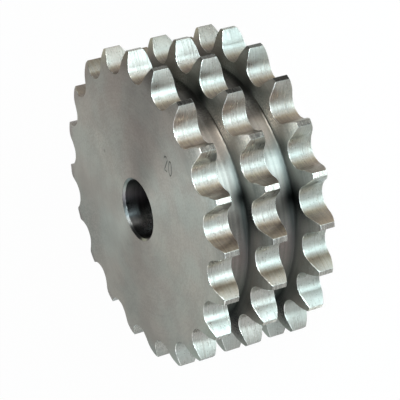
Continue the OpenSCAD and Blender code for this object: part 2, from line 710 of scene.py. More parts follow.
@dataclass
class SizeStamp:
    """The tooth number, punched into the face as two plain digits with grooves of V section."""

    x: float = 24.0
    y: float = 10.45
    reading: float = -38.0
    lean: float = -12.0
    height: float = 4.4
    width: float = 1.95
    spacing: float = 2.25
    stroke: float = 0.46
    depth: float = 0.2
    bow_angles: tuple[float, float] = (165.0, -28.0)
    bow_points: int = 11
    nought_turn: int = 20
    bend_limit: float = 1.2
    edge_grime: float = 0.42
    bed_grime: float = 0.95

    @property
    def half_size(self) -> tuple[float, float]:
        """Half the width and half the height of a digit's middle line."""
        return (self.width - self.stroke) / 2, (self.height - self.stroke) / 2

    def two(self) -> np.ndarray:
        """Draws a 2, centred on the origin.

        Returns:
            Its middle line.
        """
        half_w, half_h = self.half_size
        a = np.radians(np.linspace(*self.bow_angles, self.bow_points))
        bow = np.column_stack([half_w * np.cos(a), half_h - half_w + half_w * np.sin(a)])
        foot = np.array([[-half_w, -half_h], [half_w, -half_h]])
        halfway = bow[-1:] + (foot[:1] - bow[-1:]) / 2
        return np.vstack([bow, halfway, foot])

    def nought(self) -> np.ndarray:
        """Draws a 0, centred on the origin.

        Returns:
            Its middle line, whose end meets its start.
        """
        half_w, half_h = self.half_size
        a = np.radians(np.arange(0, 360, self.nought_turn))
        return np.column_stack([half_w * np.cos(a), half_h * np.sin(a)])

    def placed(self, line: np.ndarray, place: int) -> np.ndarray:
        """Moves a digit to its place on the face.

        Args:
            line: The digit's middle line, centred on the origin.
            place: 0 for the first digit and 1 for the second.

        Returns:
            The moved line.
        """
        upright = turned(line, self.reading - self.lean)
        step = turned(np.array([[self.spacing * (place - 0.5), 0]]), self.reading)
        return upright + step + [self.x, self.y]

    def banks(self, line: np.ndarray, closed: bool) -> tuple[np.ndarray, np.ndarray]:
        """Finds the two edges of a stroke.

        Args:
            line: The middle line.
            closed: Whether it meets itself.

        Returns:
            The edge on the left and the edge on the right.
        """
        ahead = np.roll(line, -1, axis=0) - line
        behind = line - np.roll(line, 1, axis=0)
        if not closed:
            ahead[-1], behind[0] = behind[-1], ahead[0]
        ahead, behind = unit(ahead), unit(behind)
        left = np.column_stack([-ahead[:, 1] - behind[:, 1], ahead[:, 0] + behind[:, 0]])
        stretch = 2 / np.maximum((left**2).sum(axis=1, keepdims=True), self.bend_limit)
        left = left * stretch * self.stroke / 2
        return line + left, line - left

    def outlines(self) -> list[tuple[np.ndarray, np.ndarray, np.ndarray, bool]]:
        """Draws both digits in their places.

        Returns:
            The left edge, middle line, right edge and closedness of each digit.
        """
        digits = []
        for place, (line, closed) in enumerate(((self.two(), False), (self.nought(), True))):
            line = self.placed(line, place)
            left, right = self.banks(line, closed)
            digits.append((left, line, right, closed))
        return digits


@dataclass
class FlatFace:
    """A turned end face, from inside the teeth to the chamfer of the bore."""

    z: float
    upper: bool
    stamp: Union[SizeStamp, None] = None
    columns: int = ROUND_COLUMNS
    mouth_r: float = INSIDE_TEETH_R
    stamp_outer_r: float = 31.5
    stamp_inner_r: float = 20.5
    bore_mouth_r: float = 8.59
    inner_steps: int = 2
    weld: float = 1e-6

    def loop(self, skin: SteelSkin, radius: float) -> np.ndarray:
        """Adds a closed loop on the face."""
        flat = ring(radius, self.columns)
        return skin.add(with_height(flat, self.z), (0, 0, 1 if self.upper else -1))

    def build(self, skin: SteelSkin, teeth: np.ndarray) -> np.ndarray:
        """Builds the face.

        Args:
            skin: The surface so far.
            teeth: Innermost loop of the row's side.

        Returns:
            The loop at the mouth of the bore.
        """
        mouth = self.loop(skin, self.mouth_r)
        skin.gather(teeth, mouth, Region.TURNED_SIDE)
        outer, inner = self.loop(skin, self.stamp_outer_r), self.loop(skin, self.stamp_inner_r)
        skin.bridge(mouth, outer, Region.TURNED_SIDE)
        if self.stamp is None:
            skin.bridge(outer, inner, Region.TURNED_SIDE)
        else:
            self.stamped(skin, outer, inner, self.stamp)
        radii = np.linspace(self.stamp_inner_r, self.bore_mouth_r, self.inner_steps + 1)[1:]
        loops = [inner] + [self.loop(skin, r) for r in radii]
        skin.chain(loops, Region.TURNED_SIDE)
        return loops[-1]

    def stamped(self, skin: SteelSkin, outer: np.ndarray, inner: np.ndarray, stamp: SizeStamp) -> None:
        """Fills the part of the face that carries the number, and cuts the number into it.

        Args:
            skin: The surface so far.
            outer: The loop outside the number.
            inner: The loop inside it.
            stamp: The number.
        """
        numbers = [*outer, *inner]
        flat = [*ring(self.stamp_outer_r, self.columns), *ring(self.stamp_inner_r, self.columns)]
        edges, strokes = [], []
        for start in (0, self.columns):
            edges += [(start + k, start + (k + 1) % self.columns) for k in range(self.columns)]
        for left, line, right, closed in stamp.outlines():
            banks = [left, right] if closed else [np.vstack([left, right[::-1]])]
            for bank in banks:
                start = len(flat)
                flat.extend(bank)
                numbers.extend(skin.add(with_height(bank, self.z), (0, 0, 1)))
                edges += [(start + k, start + (k + 1) % len(bank)) for k in range(len(bank))]
            strokes.append(banks)
            self.groove(skin, (left, line, right), closed, stamp)
        # Kind 0 gives triangles everywhere, also inside the strokes and the inner loop
        found = geometry.delaunay_2d_cdt([Vector(p) for p in flat], edges, [], 0, self.weld, True)
        places, triangles, origins = found[0], found[2], found[3]
        least = self.stamp_inner_r * math.cos(math.pi / self.columns)
        for triangle in triangles:
            centre = sum((places[c] for c in triangle), Vector((0, 0))) / len(triangle)
            if centre.length < least or any(self.in_stroke(centre, banks) for banks in strokes):
                continue
            skin.face(tuple(numbers[origins[c][0]] for c in triangle), Region.TURNED_SIDE)

    @staticmethod
    def in_stroke(point: Vector, banks: list[np.ndarray]) -> bool:
        """Tells whether a point lies between the edges of a stroke.

        Args:
            point: A point on the face.
            banks: The closed lines that bound the stroke.

        Returns:
            Whether a line from the point along X crosses them an odd number of times.
        """
        crossings = 0
        for bank in banks:
            ahead = np.roll(bank, -1, axis=0)
            over = (bank[:, 1] > point.y) != (ahead[:, 1] > point.y)
            rise = np.where(over, ahead[:, 1] - bank[:, 1], 1)
            cross = bank[:, 0] + (ahead[:, 0] - bank[:, 0]) * (point.y - bank[:, 1]) / rise
            crossings += int((over & (cross > point.x)).sum())
        return crossings % 2 == 1

    def groove(
        self, skin: SteelSkin, lines: tuple[np.ndarray, ...], closed: bool, stamp: SizeStamp
    ) -> None:
        """Builds the V groove of one digit, with edges of its own so that its dirt ends there.

        Args:
            skin: The surface so far.
            lines: The left edge, the middle line and the right edge.
            closed: Whether the stroke meets itself.
            stamp: The number, for the depth, stroke and dirt of its grooves.
        """
        left, line, right = lines
        up = np.array([0, 0, 1.0])
        dusty, dirtied_and_shaded = {DIRT_AND_SHADE: stamp.edge_grime}, {DIRT_AND_SHADE: stamp.bed_grime}
        left_n, right_n = (skin.add(with_height(edge, self.z), up, **dusty) for edge in (left, right))
        bed = skin.add(with_height(line, self.z - stamp.depth), up, **dirtied_and_shaded)
        count = len(line)
        for edge, edge_n in ((left, left_n), (right, right_n)):
            lean = unit(with_height((line - edge) * stamp.depth, (stamp.stroke / 2) ** 2))
            for k in range(count if closed else count - 1):
                n = (k + 1) % count
                normals = [lean[k], lean[n], up, up]
                skin.face((edge_n[k], edge_n[n], bed[n], bed[k]), Region.TURNED_SIDE, normals)
        if not closed:
            for k in (0, count - 1):
                skin.face((left_n[k], right_n[k], bed[k]), Region.TURNED_SIDE, [up, up, up])


@dataclass
class ShaftBore:
    """The reamed bore with a chamfer at both mouths."""

    foot: float
    head: float
    diameter: float = 16.0
    chamfer: float = 0.55
    edge_break: float = 0.035
    chamfer_wear: float = 0.9
    lip_wear: float = 0.5
    wall_shade: float = 0.3
    columns: int = ROUND_COLUMNS
    steps: int = 6

    def mouth(self, skin: SteelSkin, face: np.ndarray, z: float, facing: int) -> np.ndarray:
        """Builds one chamfer.

        Args:
            skin: The surface so far.
            face: The loop where the end face stops.
            z: Height of the end face.
            facing: 1 for the upper mouth and -1 for the lower one.

        Returns:
            The loop where the bore begins.
        """
        radius = self.diameter / 2
        cone = (-1, facing)
        places = (
            (radius + self.chamfer - self.edge_break, self.edge_break, cone, self.chamfer_wear),
            (radius + self.edge_break, self.chamfer - self.edge_break, cone, self.chamfer_wear),
            (radius, self.chamfer + self.edge_break, (-1, 0), self.lip_wear),
        )
        loops = [face]
        for r, depth, (out, up), wear in places:
            flat = ring(r, self.columns)
            normals = with_height(flat / r * out, up)
            loops.append(skin.add(with_height(flat, z - facing * depth), normals, **{WEAR_AND_SHINE: wear}))
        skin.chain(loops, Region.BORE)
        return loops[-1]

    def build(self, skin: SteelSkin, lower: np.ndarray, upper: np.ndarray) -> None:
        """Builds both chamfers and the bore between them.

        Args:
            skin: The surface so far.
            lower: The loop where the lower face stops.
            upper: The loop where the upper face stops.
        """
        start = self.mouth(skin, lower, self.foot, -1)
        end = self.mouth(skin, upper, self.head, 1)
        flat = ring(self.diameter / 2, self.columns)
        normals = with_height(-flat, 0.0)
        inset = self.chamfer + self.edge_break
        heights = np.linspace(self.foot + inset, self.head - inset, self.steps + 1)[1:-1]
        # Painted shade darkens the bore's wall
        marks = {DIRT_AND_SHADE: self.wall_shade}
        between = [skin.add(with_height(flat, z), normals, **marks) for z in heights]
        skin.chain([start, *between, end], Region.BORE)


class Wiring:
    """Places and joins the nodes of one shader tree."""

    # Places of the sockets for colours on a Mix node
    MIX_SHARE, MIX_FIRST, MIX_SECOND, MIX_RESULT = 0, 6, 7, 2

    def __init__(self, tree: bpy.types.NodeTree) -> None:
        """Keeps the tree."""
        self.tree = tree

    def node(self, kind: str, **settings: object) -> bpy.types.Node:
        """Adds a node.

        Args:
            kind: Blender's name of the kind.
            settings: Properties to set on it.

        Returns:
            The node.
        """
        node = self.tree.nodes.new(kind)
        for name, value in settings.items():
            setattr(node, name, value)
        return node

    def put(self, socket: bpy.types.NodeSocket, value: Value) -> None:
        """Links a socket to another, or sets its own value.

        Args:
            socket: The input to feed.
            value: Another socket, a number, a vector or a colour.
        """
        if isinstance(value, bpy.types.NodeSocket):
            self.tree.links.new(value, socket)
        elif isinstance(value, tuple) and socket.type == "RGBA" and len(value) == 3:
            socket.default_value = (*value, 1.0)
        else:
            socket.default_value = value

    def math(self, operation: str, *values: Value, clamp: bool = False) -> bpy.types.NodeSocket:
        """Works out one number from others.

        Args:
            operation: Blender's name of the operation.
            values: The numbers, in the order of the node's sockets.
            clamp: Whether the result stays between 0 and 1.

        Returns:
            The result.
        """
        node = self.node("ShaderNodeMath", operation=operation, use_clamp=clamp)
        for socket, value in zip(node.inputs, values):
            self.put(socket, value)
        return node.outputs[0]

    def vector(self, operation: str, *values: Value, output: str = "Vector") -> bpy.types.NodeSocket:
        """Works out a vector or a number from vectors.

        Args:
            operation: Blender's name of the operation.
            values: The vectors, in the order of the node's sockets.
            output: The output to take, which is called Value where it is a number.

        Returns:
            The result.
        """
        node = self.node("ShaderNodeVectorMath", operation=operation)
        for socket, value in zip(node.inputs, values):
            self.put(socket, value)
        return node.outputs[output]

    def times(self, vector: Value, factor: Value) -> bpy.types.NodeSocket:
        """Multiplies a vector or a colour by one number.

        Args:
            vector: The vector or the colour.
            factor: The number.

        Returns:
            The result.
        """
        node = self.node("ShaderNodeVectorMath", operation="SCALE")
        self.put(node.inputs[0], vector)
        self.put(node.inputs["Scale"], factor)
        return node.outputs["Vector"]

    def scaled(
        self, value: Value, start: Value, end: Value, low: Value = 0.0, high: Value = 1.0
    ) -> bpy.types.NodeSocket:
        """Maps a range of a number smoothly onto another.

        Args:
            value: The number.
            start: Where its range starts.
            end: Where its range ends.
            low: Result at the start and before it.
            high: Result at the end and past it.

        Returns:
            The result.
        """
        node = self.node("ShaderNodeMapRange", interpolation_type="SMOOTHSTEP")
        for name, setting in (
            ("Value", value), ("From Min", start), ("From Max", end), ("To Min", low), ("To Max", high)
        ):
            self.put(node.inputs[name], setting)
        return node.outputs["Result"]

    def mixed(self, share: Value, first: Value, second: Value, blend: str = "MIX") -> bpy.types.NodeSocket:
        """Mixes two colours.

        Args:
            share: Share of the second colour.
            first: The first colour.
            second: The second colour.
            blend: Blender's name of the way to mix them.

        Returns:
            The mixed colour.
        """
        node = self.node("ShaderNodeMix", data_type="RGBA", blend_type=blend)
        self.put(node.inputs[self.MIX_SHARE], share)
        self.put(node.inputs[self.MIX_FIRST], first)
        self.put(node.inputs[self.MIX_SECOND], second)
        return node.outputs[self.MIX_RESULT]

    def noise(
        self, where: Value, scale: Value = 1.0, detail: float = 2.0, flat: bool = False
    ) -> bpy.types.NodeSocket:
        """Adds noise.

        Args:
            where: A place, or one number where flat is set.
            scale: Cells of the noise in each step of the place.
            detail: Layers of finer noise on top.
            flat: Whether the noise runs along one number.

        Returns:
            The noise, from 0 to 1.
        """
        node = self.node("ShaderNodeTexNoise", noise_dimensions="1D" if flat else "3D")
        self.put(node.inputs["W" if flat else "Vector"], where)
        self.put(node.inputs["Scale"], scale)
        self.put(node.inputs["Detail"], detail)
        return node.outputs["Fac"]

    def mark(self, name: str) -> bpy.types.NodeSocket:
        """Reads one of the mesh's marks."""
        return self.node("ShaderNodeAttribute", attribute_type="GEOMETRY", attribute_name=name).outputs["Fac"]

    def use(self, group: bpy.types.NodeTree, **values: Value) -> dict[str, bpy.types.NodeSocket]:
        """Places a node group with values of its own.

        Args:
            group: The group.
            values: Values of its inputs, by their names in small letters.

        Returns:
            Its outputs by name.
        """
        node = self.node("ShaderNodeGroup", node_tree=group)
        for name, value in values.items():
            self.put(node.inputs[name.capitalize()], value)
        return {socket.name: socket for socket in node.outputs}


class EffectGroup:
    """An effect that several finishes share, as a node group with named inputs and outputs."""

    KINDS = {"number": "NodeSocketFloat", "vector": "NodeSocketVector", "colour": "NodeSocketColor"}

    def __init__(self, name: str, inputs: dict[str, tuple[str, Value]], outputs: dict[str, str]) -> None:
        """Makes the group's sockets.

        Args:
            name: Name of the group.
            inputs: Kind and default of each input.
            outputs: Kind of each output.
        """
        self.tree = bpy.data.node_groups.new(name, "ShaderNodeTree")
        for label, (kind, default) in inputs.items():
            socket = self.tree.interface.new_socket(label, in_out="INPUT", socket_type=self.KINDS[kind])
            socket.default_value = default
        for label, kind in outputs.items():
            self.tree.interface.new_socket(label, in_out="OUTPUT", socket_type=self.KINDS[kind])
        self.wiring = Wiring(self.tree)
        self.given = self.wiring.node("NodeGroupInput").outputs
        self.result = self.wiring.node("NodeGroupOutput").inputs


class MachiningEffects:
    """The effects that the finishes share. Tones are the range of a noise that is spread over 0 to 1."""

    # Tool marks: how finely they waver, and the width and tones of their broad bands
    WAVER_SCALE = 60.0
    TURNED_BAND = 0.43
    TURNED_TONES = (0.28, 0.72)
    # Hob streaks: width and tones of the broad bands and of the thin dark lines
    HOBBED_BAND = 0.5
    HOBBED_TONES = (0.3, 0.7)
    LINE_BAND = 1.1
    LINE_TONES = (0.60, 0.72)
    # Pits: where their rims fade, how broad the struck areas are, and how many cells stay free of pits
    PIT_RIM = (1.0, 0.5)
    STRUCK_SCALE = 45.0
    STRUCK_TONES = (0.42, 0.62)
    CELLS_FREE = (1.0, 0.62)
    # Edge wear and painted shine: how they follow the mesh's mark, and how fine, how patchy and how strong
    # they are
    WEAR_MARKS = (0.45, 1.0)
    WEAR_SCALE = 700.0
    WEAR_TONES = (0.42, 0.66)
    WEAR_STRENGTHS = (0.12, 1.0)
    # Oil film: tones of its clouds and its blotches, and how much finer than the clouds the others are
    CLOUD_TONES = (0.35, 0.65)
    BLOTCH_TONES = (0.3, 0.7)
    BLOTCH_SCALE = 1.9
    FINE_SCALE = 4.3

    def __init__(self) -> None:
        """Builds each group once."""
        self.tool_marks = self.make_tool_marks()
        self.hob_streaks = self.make_hob_streaks()
        self.pitting = self.make_pitting()
        self.edge_wear_and_shine = self.make_edge_wear()
        self.oil_film = self.make_oil_film()

    def make_tool_marks(self) -> bpy.types.NodeTree:
        """Builds the lines that a cutting edge leaves.

        Returns:
            A group that turns a distance across the marks into their height and their tone.
        """
        inputs = {
            "Across": ("number", 0.0), "Place": ("vector", (0.0, 0.0, 0.0)), "Pitch": ("number", 0.5),
            "Waver": ("number", 0.1),
        }
        group = EffectGroup("tool_marks", inputs, {"Height": "number", "Tone": "number"})
        w, given = group.wiring, group.given
        waver = w.math("MULTIPLY", w.noise(given["Place"], self.WAVER_SCALE, detail=1.0), given["Waver"])
        steps = w.math("DIVIDE", w.math("ADD", given["Across"], waver), given["Pitch"])
        w.put(group.result["Height"], w.noise(steps, detail=3.0, flat=True))
        broad = w.noise(w.math("MULTIPLY", steps, self.TURNED_BAND), flat=True)
        w.put(group.result["Tone"], w.scaled(broad, *self.TURNED_TONES))
        return group.tree

    def make_hob_streaks(self) -> bpy.types.NodeTree:
        """Builds the short, sharp streaks that the cuts of a hob leave one beside the other.

        Returns:
            A group that turns the distances across and along the cut into height, tone and thin dark lines.
        """
        inputs = {
            "Across": ("number", 0.0), "Along": ("number", 0.0), "Pitch": ("number", 0.4),
            "Run": ("number", 1.4), "Seed": ("number", 0.0),
        }
        group = EffectGroup("hob_streaks", inputs, {"Height": "number", "Tone": "number", "Line": "number"})
        w, given = group.wiring, group.given
        leaning = w.math("MULTIPLY_ADD", given["Along"], MARK_LEAN, given["Across"])
        steps = w.math("DIVIDE", leaning, given["Pitch"])
        start = w.math("MULTIPLY", given["Seed"], SEED_STRETCH)
        where = w.node("ShaderNodeCombineXYZ")
        w.put(where.inputs["X"], w.math("ADD", steps, start))
        w.put(where.inputs["Y"], w.math("DIVIDE", given["Along"], given["Run"]))
        w.put(where.inputs["Z"], start)
        w.put(group.result["Height"], w.noise(where.outputs["Vector"], detail=3.0))
        broad = w.noise(w.math("MULTIPLY_ADD", steps, self.HOBBED_BAND, start), flat=True)
        w.put(group.result["Tone"], w.scaled(broad, *self.HOBBED_TONES))
        fine = w.noise(w.math("MULTIPLY_ADD", steps, self.LINE_BAND, start), detail=1.0, flat=True)
        w.put(group.result["Line"], w.scaled(fine, *self.LINE_TONES))
        return group.tree

    def make_pitting(self) -> bpy.types.NodeTree:
        """Builds small dark pits, each in a cell of its own and only in some of the cells.

        Returns:
            A group that turns the distances across and along the cut into a mask.
        """
        inputs = {
            "Across": ("number", 0.0), "Along": ("number", 0.0), "Seed": ("number", 0.0),
            "Place": ("vector", (0.0, 0.0, 0.0)), "Cell": ("number", 1.1), "Width": ("number", 0.17),
        }
        group = EffectGroup("pitting", inputs, {"Mask": "number"})
        w, given = group.wiring, group.given
        where = w.node("ShaderNodeCombineXYZ")
        w.put(where.inputs["X"], w.math("MULTIPLY_ADD", given["Seed"], SEED_STRETCH, given["Across"]))
        w.put(where.inputs["Y"], given["Along"])
        cells = w.node("ShaderNodeTexVoronoi", voronoi_dimensions="2D")
        w.put(cells.inputs["Vector"], where.outputs["Vector"])
        w.put(cells.inputs["Scale"], w.math("DIVIDE", 1.0, given["Cell"]))
        away = w.math("MULTIPLY", cells.outputs["Distance"], given["Cell"])
        pit = w.scaled(w.math("DIVIDE", away, given["Width"]), *self.PIT_RIM)
        chance = w.node("ShaderNodeSeparateColor")
        w.put(chance.inputs["Color"], cells.outputs["Color"])
        struck = w.noise(given["Place"], self.STRUCK_SCALE, detail=1.0)
        free = w.scaled(struck, *self.STRUCK_TONES, *self.CELLS_FREE)
        chosen = w.math("GREATER_THAN", chance.outputs["Red"], free)
        w.put(group.result["Mask"], w.math("MULTIPLY", pit, chosen))
        return group.tree

    def make_edge_wear(self) -> bpy.types.NodeTree:
        """Builds the bright, uneven line along handled and deburred edges: worn steel with a painted
        highlight, and the painted glint along the foot of the grooves.

        Returns:
            A group that turns the mesh's mark into a mask.
        """
        inputs = {"Mark": ("number", 0.0), "Place": ("vector", (0.0, 0.0, 0.0)), "Amount": ("number", 1.0)}
        group = EffectGroup("edge_wear_and_shine", inputs, {"Mask": "number"})
        w, given = group.wiring, group.given
        fine = w.noise(given["Place"], self.WEAR_SCALE)
        patches = w.scaled(fine, *self.WEAR_TONES, *self.WEAR_STRENGTHS)
        worn_and_shine = w.math("MULTIPLY", w.scaled(given["Mark"], *self.WEAR_MARKS), patches)
        w.put(group.result["Mask"], w.math("MULTIPLY", worn_and_shine, given["Amount"], clamp=True))
        return group.tree

    def make_oil_film(self) -> bpy.types.NodeTree:
        """Builds the faint cloudiness of wiped, lightly oiled steel.

        Returns:
            A group that gives a tint for the colour, a change for the roughness, blotches and a fine speckle.
        """
        inputs = {
            "Place": ("vector", (0.0, 0.0, 0.0)), "Warm": ("colour", (1.0, 0.98, 0.955, 1.0)),
            "Cool": ("colour", (0.95, 1.0, 0.985, 1.0)), "Size": ("number", 12.0), "Grain": ("number", 0.5),
        }
        outputs = {"Tint": "colour", "Dullness": "number", "Blotch": "number", "Speckle": "number"}
        group = EffectGroup("oil_film", inputs, outputs)
        w, given = group.wiring, group.given
        place, scale = given["Place"], w.math("DIVIDE", 1 / MM, given["Size"])
        clouds = w.noise(place, scale, detail=3.0)
        fine = w.noise(place, w.math("MULTIPLY", scale, self.FINE_SCALE), detail=3.0)
        blotches = w.noise(place, w.math("MULTIPLY", scale, self.BLOTCH_SCALE), detail=4.0)
        speckle = w.noise(place, w.math("DIVIDE", 1 / MM, given["Grain"]), detail=3.0)
        tint = w.mixed(w.scaled(clouds, *self.CLOUD_TONES), given["Warm"], given["Cool"])
        mean = w.math("MULTIPLY", w.math("ADD", clouds, fine), 0.5)
        w.put(group.result["Tint"], tint)
        w.put(group.result["Dullness"], w.math("SUBTRACT", mean, 0.5))
        w.put(group.result["Blotch"], w.scaled(blotches, *self.BLOTCH_TONES))
        w.put(group.result["Speckle"], w.scaled(speckle, *self.BLOTCH_TONES))
        return group.tree


class Coordinate(Enum):
    """The direction across the tool marks of a turned surface, as the axes that it takes in."""

    RADIUS = (1.0, 1.0, 0.0)
    HEIGHT = (0.0, 0.0, 1.0)


@dataclass(frozen=True)
class Patch:
    """A soft spot on the steel whose colour is painted lighter or darker than the rest: painted light where
    lighter, painted shade where darker.
    """

    x: float
    y: float
    z: float
    size: float
    change: float
    through: bool = False
    rough: float = 0.5

    def share(
        self, w: Wiring, place: bpy.types.NodeSocket, speckle: bpy.types.NodeSocket
    ) -> bpy.types.NodeSocket:
        """Gives the factor of the steel's colour, rough with the speckle.

        Args:
            w: Wiring of the material.
            place: Place on the sprocket; a patch that goes through is the same at every height.
            speckle: Fine speckle, from 0 to 1.

        Returns:
            The factor.
        """
        if self.through:
            place = w.vector("MULTIPLY", place, Coordinate.RADIUS.value)
        middle = (self.x * MM, self.y * MM, 0.0 if self.through else self.z * MM)
        away = w.vector("DISTANCE", place, middle, output="Value")
        even, uneven = (1 - self.rough) * self.change, 2 * self.rough * self.change
        most = w.math("MULTIPLY_ADD", speckle, uneven, 1 + even)
        return w.scaled(away, 0.0, self.size * MM, most, 1.0)


class Blank(NamedTuple):
    """A new steel material with what every finish draws on."""

    material: bpy.types.Material
    wiring: Wiring
    shader: bpy.types.Node
    place: bpy.types.NodeSocket
    film_and_painted_tint: dict[str, bpy.types.NodeSocket]
    worn_and_shine: bpy.types.NodeSocket

    @classmethod
    def named(cls, name: str, effects: MachiningEffects, wear: float) -> "Blank":
        """Makes an empty material.

        Args:
            name: Name of the material.
            effects: The shared effects.
            wear: How strongly the worn edges show.

        Returns:
            The material and its parts.
        """
        material = bpy.data.materials.new(name)
        material.use_nodes = True
        w = Wiring(material.node_tree)
        shader = material.node_tree.nodes["Principled BSDF"]
        shader.inputs["Metallic"].default_value = 1.0
        place = w.node("ShaderNodeTexCoord").outputs["Object"]
        film_and_painted_tint = w.use(effects.oil_film, place=place)
        worn_and_shine = w.use(effects.edge_wear_and_shine, mark=w.mark(WEAR_AND_SHINE), place=place, amount=wear)
        return cls(material, w, shader, place, film_and_painted_tint, worn_and_shine["Mask"])

    def tinted(self, colour: Colour, tone: bpy.types.NodeSocket, speckle: float) -> bpy.types.NodeSocket:
        """Gives the steel its colour.

        Args:
            colour: The plain colour.
            tone: Factor of the tool marks.
            speckle: Strength of the film's speckle and blotches.

        Returns:
            The colour with the tone and the film on it.
        """
        w = self.wiring
        spots = w.math("ADD", self.film_and_painted_tint["Speckle"], self.film_and_painted_tint["Blotch"])
        spots = w.scaled(spots, 0.0, 2.0, 1 - speckle, 1 + speckle)
        return w.times(w.mixed(1.0, self.film_and_painted_tint["Tint"], colour, "MULTIPLY"), w.math("MULTIPLY", tone, spots))

    def cut_across(self, grain: float, height: bpy.types.NodeSocket) -> None:
        """Stretches the glint across the tool marks and raises the marks themselves.

        Args:
            grain: How far the glint is stretched, from 0 to 1.
            height: Height of the marks, in millimetres.
        """
        w, inputs = self.wiring, self.shader.inputs
        inputs["Anisotropic"].default_value = grain
        inputs["Anisotropic Rotation"].default_value = QUARTER_TURN
        w.put(inputs["Tangent"], w.node("ShaderNodeTangent", direction_type="RADIAL", axis="Z").outputs[0])
        bump = w.node("ShaderNodeBump")
        bump.inputs["Distance"].default_value = MM
        w.put(bump.inputs["Height"], height)
        w.put(inputs["Normal"], bump.outputs["Normal"])


@dataclass(frozen=True)
class TurnedSteel:
    """Steel turned on a lathe: fine rings or bands, with a glint that stretches across them."""

    name: str
    colour: Colour
    roughness: float
    grain: float
    across: Coordinate
    pitch: float = 0.45
    mark_depth: float = 0.004
    tone: float = 0.10
    mark_dullness: float = 0.05
    cloud_dullness: float = 0.12
    # Lighter colour of worn edges with a painted highlight, and of the painted glint at the groove's foot
    worn_and_shine_colour: Colour = (0.64, 0.61, 0.56)
    worn_and_shine_roughness: float = 0.30
    wear: float = 0.8
    # Dark colour mixed in by the dirt and shade mark: dirt in the stamp, painted shade in the grooves and the
    # bore
    dirt_and_shade_colour: Colour = (0.045, 0.045, 0.04)
    dirt_and_shade_roughness: float = 0.6
    dirt_and_shade_strength: float = 0.8
    speckle: float = 0.10
    patches: tuple[Patch, ...] = ()

    def material(self, effects: MachiningEffects) -> bpy.types.Material:
        """Makes the material.

        Args:
            effects: The shared effects.

        Returns:
            The material.
        """
        blank = Blank.named(self.name, effects, self.wear)
        w, inputs = blank.wiring, blank.shader.inputs
        marks = w.use(
            effects.tool_marks, across=self.distance_across(blank), place=blank.place, pitch=self.pitch
        )
        tone = w.scaled(marks["Tone"], 0.0, 1.0, 1 - self.tone, 1 + self.tone)
        # Mixes in the dark colour: dirt in the stamp, painted shade in the grooves and the bore
        dirtied_and_shaded = w.math("MULTIPLY", w.mark(DIRT_AND_SHADE), self.dirt_and_shade_strength, clamp=True)
        base = w.mixed(dirtied_and_shaded, blank.tinted(self.colour, tone, self.speckle), self.dirt_and_shade_colour)
        # Painted light and shade: soft spots that raise or lower the colour
        for patch in self.patches:
            base = w.times(base, patch.share(w, blank.place, blank.film_and_painted_tint["Speckle"]))
        # Worn edges and painted shine take the lighter colour
        w.put(inputs["Base Color"], w.mixed(blank.worn_and_shine, base, self.worn_and_shine_colour))
        dull = w.math("MULTIPLY_ADD", blank.film_and_painted_tint["Dullness"], self.cloud_dullness, self.roughness)
        dull = w.math("MULTIPLY_ADD", marks["Tone"], self.mark_dullness, dull)
        dull = w.scaled(dirtied_and_shaded, 0.0, 1.0, dull, self.dirt_and_shade_roughness)
        w.put(inputs["Roughness"], w.scaled(blank.worn_and_shine, 0.0, 1.0, dull, self.worn_and_shine_roughness))
        blank.cut_across(self.grain, w.math("MULTIPLY", marks["Height"], self.mark_depth))
        return blank.material

    def distance_across(self, blank: Blank) -> bpy.types.NodeSocket:
        """Measures across the tool marks.

        Args:
            blank: The material's parts.

        Returns:
            The distance, in millimetres.
        """
        w = blank.wiring
        across = w.vector("MULTIPLY", blank.place, self.across.value)
        return w.math("MULTIPLY", w.vector("LENGTH", across, output="Value"), 1 / MM)


